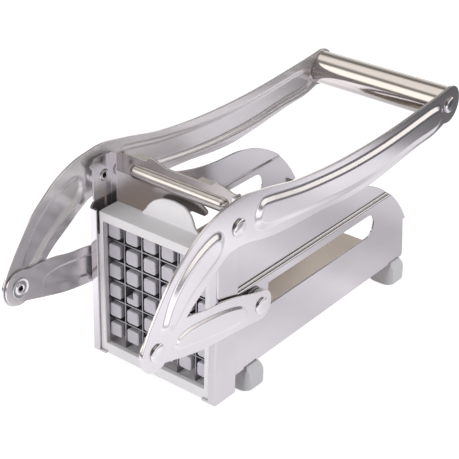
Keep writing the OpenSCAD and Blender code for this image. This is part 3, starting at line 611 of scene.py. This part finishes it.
def grip_screw(bm):
    inner = ARM_IN - SCREW_DEPTH
    lathe(bm, GRIP, [(inner, 0), (inner, GRIP_SCREW_R), (ARM_OUT, GRIP_SCREW_R), (ARM_OUT, 0)])
    lathe(bm, GRIP, head(ARM_OUT))


def end_pin(bm):
    lathe(bm, SLIDE, [(LINK_IN, 0), (LINK_IN, PIN_R), (LINK_OUT, PIN_R), (LINK_OUT, 0)])
    lathe(bm, SLIDE, head(LINK_OUT))


for name, build, body, node in (
        ("rivets_pivot", pivot_rivet, "base", "pivot_rivets"),
        ("rivets_link", link_rivet, "lever", "link_rivets"),
        ("screws_grip", grip_screw, "lever", "grip_screws"),
        ("pins_link_end", end_pin, "links", "link_end_pins")):
    pin = piece(name, pair(build), body, RIVET_STEEL, [node])
    # faces deep in the rivets' hollows get the near-black copy: painted shade
    pin.data.materials.append(HOLLOW_PAINTED_SHADE)
    for face in pin.data.polygons:
        spot = vec(face.center.y / MM - BLADE_Y, face.center.z / MM - GRID_Z)
        off = min((spot - PIVOT).length, (spot - LINK_START).length)
        if off < 0.52 * PIN_R and abs(face.center.x) < ARM_IN * MM:
            face.material_index = 1

# ---- grip ----

GRIP_R, GRIP_WALL, GRIP_EDGE = 10.5, 1.2, 0.5
tube = bmesh.new()
rim = [(-ARM_IN + GRIP_EDGE, GRIP_R - GRIP_WALL), (-ARM_IN, GRIP_R - GRIP_WALL + 0.3),
       (-ARM_IN, GRIP_R - GRIP_EDGE), (-ARM_IN + GRIP_EDGE * 0.3, GRIP_R - GRIP_EDGE * 0.3),
       (-ARM_IN + GRIP_EDGE, GRIP_R)]
lathe(tube, GRIP, rim + [(-x, r) for x, r in rim[::-1]] + [rim[0]], 96)
bmesh.ops.remove_doubles(tube, verts=tube.verts, dist=1e-5)
piece("grip_sleeve", tube, "lever", CHROME, ["grip_tube"])

# ---- pegged block ----

PEG, CORNER, PEG_REACH = 8.4, 1.5, 1.4
# how deep a peg is rooted in the plate, and the edge radii of pegs, plate and marked peg's stub
PEG_ROOT = 0.4
PEG_EDGE, BLOCK_EDGE, STUB_EDGE = 0.7, 0.4, 0.3
block_half = STICK * STICKS / 2 - STICK / 2 + PEG / 2


def rounded_square(cx, cy, side):
    c = side / 2 - CORNER
    out = []
    for sx, sy, start in ((1, 1, 0), (-1, 1, 90), (-1, -1, 180), (1, -1, 270)):
        out += arc(vec(cx + sx * c, cy + sy * c), CORNER, start, start + 90, 5)
    return out


# the peg with a corner cut out: its middle, the notch's width and where the notch ends
MARKED, NOTCH, NOTCH_BACK = (-18.75, -6.25), 4.6, 8.2


def notched_square(cx, cy):
    """A peg's outline without its upper left corner."""
    loop = [p for p in rounded_square(cx, cy, PEG)
            if p.x > cx - PEG / 2 + NOTCH or p.y < cy + PEG / 2 - NOTCH]
    at = max(range(len(loop)), key=lambda k: (loop[k] - loop[k - 1]).length)
    x, y = cx - PEG / 2 + NOTCH, cy + PEG / 2 - NOTCH
    return loop[:at] + [vec(x, cy + PEG / 2), vec(x, y), vec(cx - PEG / 2, y)] + loop[at:]


def stamp(outline, front, edge):
    """A column from its root in the block's plate to its front face."""
    column = slab(outline, [], BLOCK_FRONT - front + PEG_ROOT, edge, top_only=True)
    return put(column, Matrix.Translation((0, BLOCK_FRONT + PEG_ROOT, 0)) @ FRONT)


pegs = []
for i in range(STICKS):
    for j in range(STICKS):
        cx, cz = ((k - (STICKS - 1) / 2) * STICK for k in (i, j))
        outline = rounded_square(cx, cz, PEG)
        if (cx, cz) == MARKED:
            pegs.append(stamp(outline, NOTCH_BACK, STUB_EDGE))
            outline = notched_square(cx, cz)
        pegs.append(stamp(outline, -PEG_REACH, PEG_EDGE))
plate = slab(rounded_square(0, 0, 2 * block_half), [], BLOCK_T, BLOCK_EDGE)
put(plate, Matrix.Translation((0, BLOCK_FRONT + BLOCK_T, 0)) @ FRONT)
piece("pegged_block", join(pegs + [plate]), "pusher", BLOCK_PLASTIC,
      ["pusher_block"])

# ---- pieces that keep the CAD's shape, with rounded edges ----

LIP_Y = -FRAME_FRONT - CLEAR - SHEET
RETURN_BACK = FRAME_BACK + CLEAR + SHEET
# (radius, steps, place) of the post's outer fold and of the fold to the panel
WALL_FOLDS = [
    (1.7, 5, {0: POST_OUT, 1: LIP_Y}),
    (0.6, 3, {0: POST_OUT, 1: RETURN_BACK})]
for side in ("right", "left"):
    dress("wall_" + side, "side_wall_" + side, "base", BODY_STEEL, 0.25,
          folds=WALL_FOLDS, change=ledge)

CROWN_TOP = 43.3
TAB_HALF, TAB_RISE, TAB_T, TAB_LEAN, TAB_ROUND = 20.5, 11.8, 1.8, 3.0, 0.6
TAB_SIDE = through([vec(a * TAB_HALF, CROWN_TOP + b * TAB_RISE) for a, b in (
    (1, -0.06), (0.9, 0.11), (0.81, 0.29), (0.74, 0.5), (0.61, 0.73), (0.36, 0.93), (0, 1))], 8)


def lean(z):
    """How far back the tab leans at a height."""
    t = max(0.0, (z - CROWN_TOP) / TAB_RISE - 0.25) / 0.75
    return TAB_LEAN * t * t * (1.6 - 0.6 * t)


RIM_STEPS = 5


def thumb_tab():
    """Bell-shaped tab that leans back, with a rounded rim."""
    bm = bmesh.new()
    outline = [vec(-p.x, p.y) for p in TAB_SIDE] + TAB_SIDE[:-1][::-1]
    quarter = [math.radians(90 * k / RIM_STEPS) for k in range(RIM_STEPS + 1)]
    steps = [(TAB_ROUND * (1 - math.sin(q)), TAB_T - TAB_ROUND * (1 - math.cos(q))) for q in quarter]
    steps += [(g, TAB_T - w) for g, w in steps[::-1]]
    rings = []
    for grow, w in steps:
        inner = inset(outline[::-1], grow)[::-1]
        inner[0], inner[-1] = outline[0] + vec(grow, 0), outline[-1] - vec(grow, 0)
        rings.append([bm.verts.new((p.x, FRAME_BACK - w + lean(p.y), p.y)) for p in inner])
    for a, b in zip(rings, rings[1:]):
        for i in range(len(a) - 1):
            bm.faces.new((a[i], a[i + 1], b[i + 1], b[i]))
    for side in (rings[0], rings[-1]):
        last = len(side) - 1
        for i in range(last // 2):
            corners = [side[i], side[i + 1], side[last - i - 1], side[last - i]]
            bm.faces.new(corners if len(set(corners)) == 4 else corners[:2] + corners[3:])
    return bm


def housing(bm):
    """Swaps the frame's faceted tab for a smooth one."""
    whole = bm.verts[:] + bm.edges[:] + bm.faces[:]
    bmesh.ops.bisect_plane(bm, geom=whole, plane_co=(0, 0, (GRID_Z + CROWN_TOP + 0.01) * MM),
                           plane_no=(0, 0, 1), dist=1e-7, clear_outer=True)
    bmesh.ops.holes_fill(bm, edges=[e for e in bm.edges if e.is_boundary])


dress("grid_housing", "grid_frame", "base", FRAME_PLASTIC, 0.35, change=housing)
piece("housing_tab", thumb_tab(), "base", FRAME_PLASTIC, ["grid_frame"])

for name, node, body, slot, material, width in (
        ("floor_sheet", "floor_plate", "base", "body_steel", FLOOR_STEEL_PAINTED_WARM, 0.2),
        ("cross_rail", "crossbar", "base", "body_steel", BAR_STEEL, 0.25),
        ("foot_fr", "foot_front_right", "base", "foot_rubber", RUBBER, 0.35),
        ("foot_fl", "foot_front_left", "base", "foot_rubber", RUBBER, 0.35),
        ("foot_rr", "foot_rear_right", "base", "foot_rubber", RUBBER, 0.35),
        ("foot_rl", "foot_rear_left", "base", "foot_rubber", RUBBER, 0.35),
        ("carrier", "pusher_carrier", "pusher", "body_steel", BODY_STEEL, 0.2),
        ("bushes", "slide_bushes", "pusher", "bush_plastic", BUSH_PLASTIC, 0.2)):
    dressed = dress(name, node, body, material, width,
                    angle=SHARP_RUBBER if material is RUBBER else SHARP)
    if name == "cross_rail":
        # the flat front of the crossbar's plate gets a darker copy of the bar's steel: a painted
        # dark reflection
        dressed.data.materials.append(PAINTED_DARK_BAR_FRONT)
        for face in dressed.data.polygons:
            if face.normal.y < -0.99:
                face.material_index = 1

for node, material in (
        ("blades_upright", BLADE_STEEL), ("blades_level", BLADE_STEEL),
        ("foot_screws", RIVET_STEEL), ("pivot_spacers", RIVET_STEEL),
        ("grip_plugs", BUSH_PLASTIC), ("grip_spindle", RIVET_STEEL),
        ("carrier_screws", RIVET_STEEL), ("slide_pins", RIVET_STEEL)):
    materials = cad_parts[node].data.materials
    for i in range(len(materials)):
        materials[i] = material

# ---- floor, light and camera ----


def graph(nodes, links, value, stops):
    """Output that follows (input, output) stops, with straight lines between them."""
    low, high = stops[0][0], stops[-1][0]
    span = nodes.new("ShaderNodeMapRange")
    span.inputs["From Min"].default_value = low
    span.inputs["From Max"].default_value = high
    links.new(value, span.inputs["Value"])
    most = max(v for _, v in stops)
    ramp = nodes.new("ShaderNodeValToRGB")
    for i, (at, v) in enumerate(stops):
        where = (at - low) / (high - low)
        if i in (0, 1):
            element = ramp.color_ramp.elements[i]
            element.position = where
        else:
            element = ramp.color_ramp.elements.new(where)
        element.color = (v / most, v / most, v / most, 1)
    links.new(span.outputs["Result"], ramp.inputs["Fac"])
    scale = nodes.new("ShaderNodeMath")
    scale.operation = "MULTIPLY"
    scale.inputs[1].default_value = most
    links.new(ramp.outputs["Color"], scale.inputs[0])
    return scale.outputs["Value"]


def blend(nodes, links, weight, a, b):
    """a where the weight is 0, b where it is 1."""
    mixed = nodes.new("ShaderNodeMix")
    links.new(weight, mixed.inputs["Factor"])
    links.new(a, mixed.inputs["A"])
    links.new(b, mixed.inputs["B"])
    return mixed.outputs["Result"]


def combined(nodes, links, operation, a, b):
    """Output of a math node with two linked inputs."""
    node = nodes.new("ShaderNodeMath")
    node.operation = operation
    links.new(a, node.inputs[0])
    links.new(b, node.inputs[1])
    return node.outputs["Value"]


def switched(nodes, links, test, a, b):
    """Shader a where the ray test is 0, b where it is 1."""
    mixed = nodes.new("ShaderNodeMixShader")
    links.new(test, mixed.inputs["Fac"])
    links.new(a, mixed.inputs[1])
    links.new(b, mixed.inputs[2])
    return mixed.outputs["Shader"]


def axes(nodes, links, coordinates):
    """Outputs X, Y and Z of a kind of texture coordinates."""
    place = nodes.new("ShaderNodeTexCoord")
    split = nodes.new("ShaderNodeSeparateXYZ")
    links.new(place.outputs[coordinates], split.inputs["Vector"])
    return split.outputs


def painted_floor_reflection(nodes, links):
    """What glossy rays see of the floor: a painted reflection, with a painted shadow of the cutter.
    """
    at = axes(nodes, links, "Object")
    level = combined(nodes, links, "MULTIPLY", graph(nodes, links, at["Y"], FLOOR_ALONG),
                     graph(nodes, links, at["X"], FLOOR_ACROSS))
    slant = nodes.new("ShaderNodeMath")
    slant.operation = "MULTIPLY_ADD"
    slant.inputs[1].default_value = FLOOR_SLANT
    links.new(at["X"], slant.inputs[0])
    links.new(at["Y"], slant.inputs[2])
    end = graph(nodes, links, slant.outputs["Value"], FLOOR_END)
    emission = nodes.new("ShaderNodeEmission")
    emission.inputs["Color"].default_value = (*FLOOR_TINT, 1)
    links.new(combined(nodes, links, "MULTIPLY", level, end), emission.inputs["Strength"])
    return emission.outputs["Emission"]


def white_floor():
    """White with a soft shadow for the camera, pale for light, a painted reflection for glossy rays.
    """
    white = bpy.data.materials.new("floor_white")
    white.use_nodes = True
    nodes, links, shader = nodes_of(white)
    shader.inputs["Base Color"].default_value = (0.86, 0.86, 0.86, 1)
    shader.inputs["Roughness"].default_value = 0.9
    shader.inputs["Specular IOR Level"].default_value = 0
    path = nodes.new("ShaderNodeLightPath")
    shade = nodes.new("ShaderNodeBsdfDiffuse")
    shade.inputs["Color"].default_value = (0.4, 0.4, 0.4, 1)
    glow = nodes.new("ShaderNodeEmission")
    glow.inputs["Color"].default_value = (1, 1, 1, 1)
    glow.inputs["Strength"].default_value = FLOOR_GLOW
    soft = nodes.new("ShaderNodeAddShader")
    links.new(shade.outputs["BSDF"], soft.inputs[0])
    links.new(glow.outputs["Emission"], soft.inputs[1])
    seen = switched(nodes, links, path.outputs["Is Camera Ray"], shader.outputs["BSDF"],
                    soft.outputs["Shader"])
    links.new(switched(nodes, links, path.outputs["Is Glossy Ray"], seen,
                       painted_floor_reflection(nodes, links)), nodes["Material Output"].inputs["Surface"])
    return white


def background(nodes, color, strength=1.0):
    node = nodes.new("ShaderNodeBackground")
    node.inputs["Color"].default_value = (*color, 1)
    node.inputs["Strength"].default_value = strength
    return node


def painted_sky_reflection(nodes, links):
    """What glossy rays see of the sky: a painted reflection."""
    at = axes(nodes, links, "Generated")
    quarters = [graph(nodes, links, at["Z"], stops)
                for stops in (SKY_FRONT_LEFT, SKY_BACK_LEFT, SKY_FRONT_RIGHT, SKY_BACK_RIGHT)]
    backward = graph(nodes, links, at["Y"], SKY_SEAM)
    rightward = graph(nodes, links, at["X"], SKY_SEAM)
    left = blend(nodes, links, backward, *quarters[:2])
    right = blend(nodes, links, backward, *quarters[2:])
    sky = background(nodes, SKY_TINT)
    links.new(blend(nodes, links, rightward, left, right), sky.inputs["Strength"])
    return sky.outputs["Background"]


bpy.ops.mesh.primitive_plane_add(size=8, location=(0, 0, 0))
floor = bpy.context.object
floor.name = "floor"
floor.data.materials.append(white_floor())

world = bpy.data.worlds.new("studio")
bpy.context.scene.world = world
world.use_nodes = True
nodes, links = world.node_tree.nodes, world.node_tree.links
path = nodes.new("ShaderNodeLightPath")
# plain light, the painted sky reflection for glossy rays, and white for camera and transmission rays
lighting = background(nodes, (1, 1, 1), WORLD_LIGHT).outputs["Background"]
lit = switched(nodes, links, path.outputs["Is Glossy Ray"], lighting, painted_sky_reflection(nodes, links))
seen = combined(nodes, links, "MAXIMUM", path.outputs["Is Camera Ray"],
                path.outputs["Is Transmission Ray"])
backdrop = background(nodes, (1, 1, 1)).outputs["Background"]
links.new(switched(nodes, links, seen, lit, backdrop), nodes["World Output"].inputs["Surface"])


def lamp(name, place, target, size, radiance):
    """Soft box of a given brightness, hidden from the camera and from glossy rays."""
    light = bpy.data.lights.new(name, "AREA")
    light.shape = "RECTANGLE"
    light.size, light.size_y = size
    light.energy = radiance * math.pi * size[0] * size[1]
    obj = bpy.data.objects.new(name, light)
    bpy.context.scene.collection.objects.link(obj)
    obj.location = place
    obj.rotation_euler = (Vector(target) - Vector(place)).to_track_quat("-Z", "Y").to_euler()
    obj.visible_camera = False
    obj.visible_glossy = False


lamp("key", (-0.6, -0.7, 1.1), (0, 0, 0.08), (0.9, 0.6), 2.8)
lamp("front", (-0.15, -1.35, 0.35), (0, 0, 0.05), (0.9, 0.6), 5.4)
lamp("side", (1.15, 0.4, 0.3), (0, 0, 0.03), (0.8, 0.5), 7.0)

CAMERA_PLACE = (0.3935, -0.53465, 0.4255)
CAMERA_TURN, CAMERA_DOWN, CAMERA_ROLL = 37.34, 28.71, 1.47
CAMERA_SENSOR, CAMERA_LENS = 36, 103.55

camera_data = bpy.data.cameras.new("camera")
camera_data.sensor_width = CAMERA_SENSOR
camera_data.lens = CAMERA_LENS
camera = bpy.data.objects.new("camera", camera_data)
bpy.context.scene.collection.objects.link(camera)
camera.matrix_world = (
    Matrix.Translation(CAMERA_PLACE)
    @ Matrix.Rotation(math.radians(CAMERA_TURN), 4, "Z")
    @ Matrix.Rotation(math.radians(90 - CAMERA_DOWN), 4, "X")
    @ Matrix.Rotation(math.radians(CAMERA_ROLL), 4, "Z"))
bpy.context.scene.camera = camera

bpy.context.scene.view_settings.view_transform = "Standard"
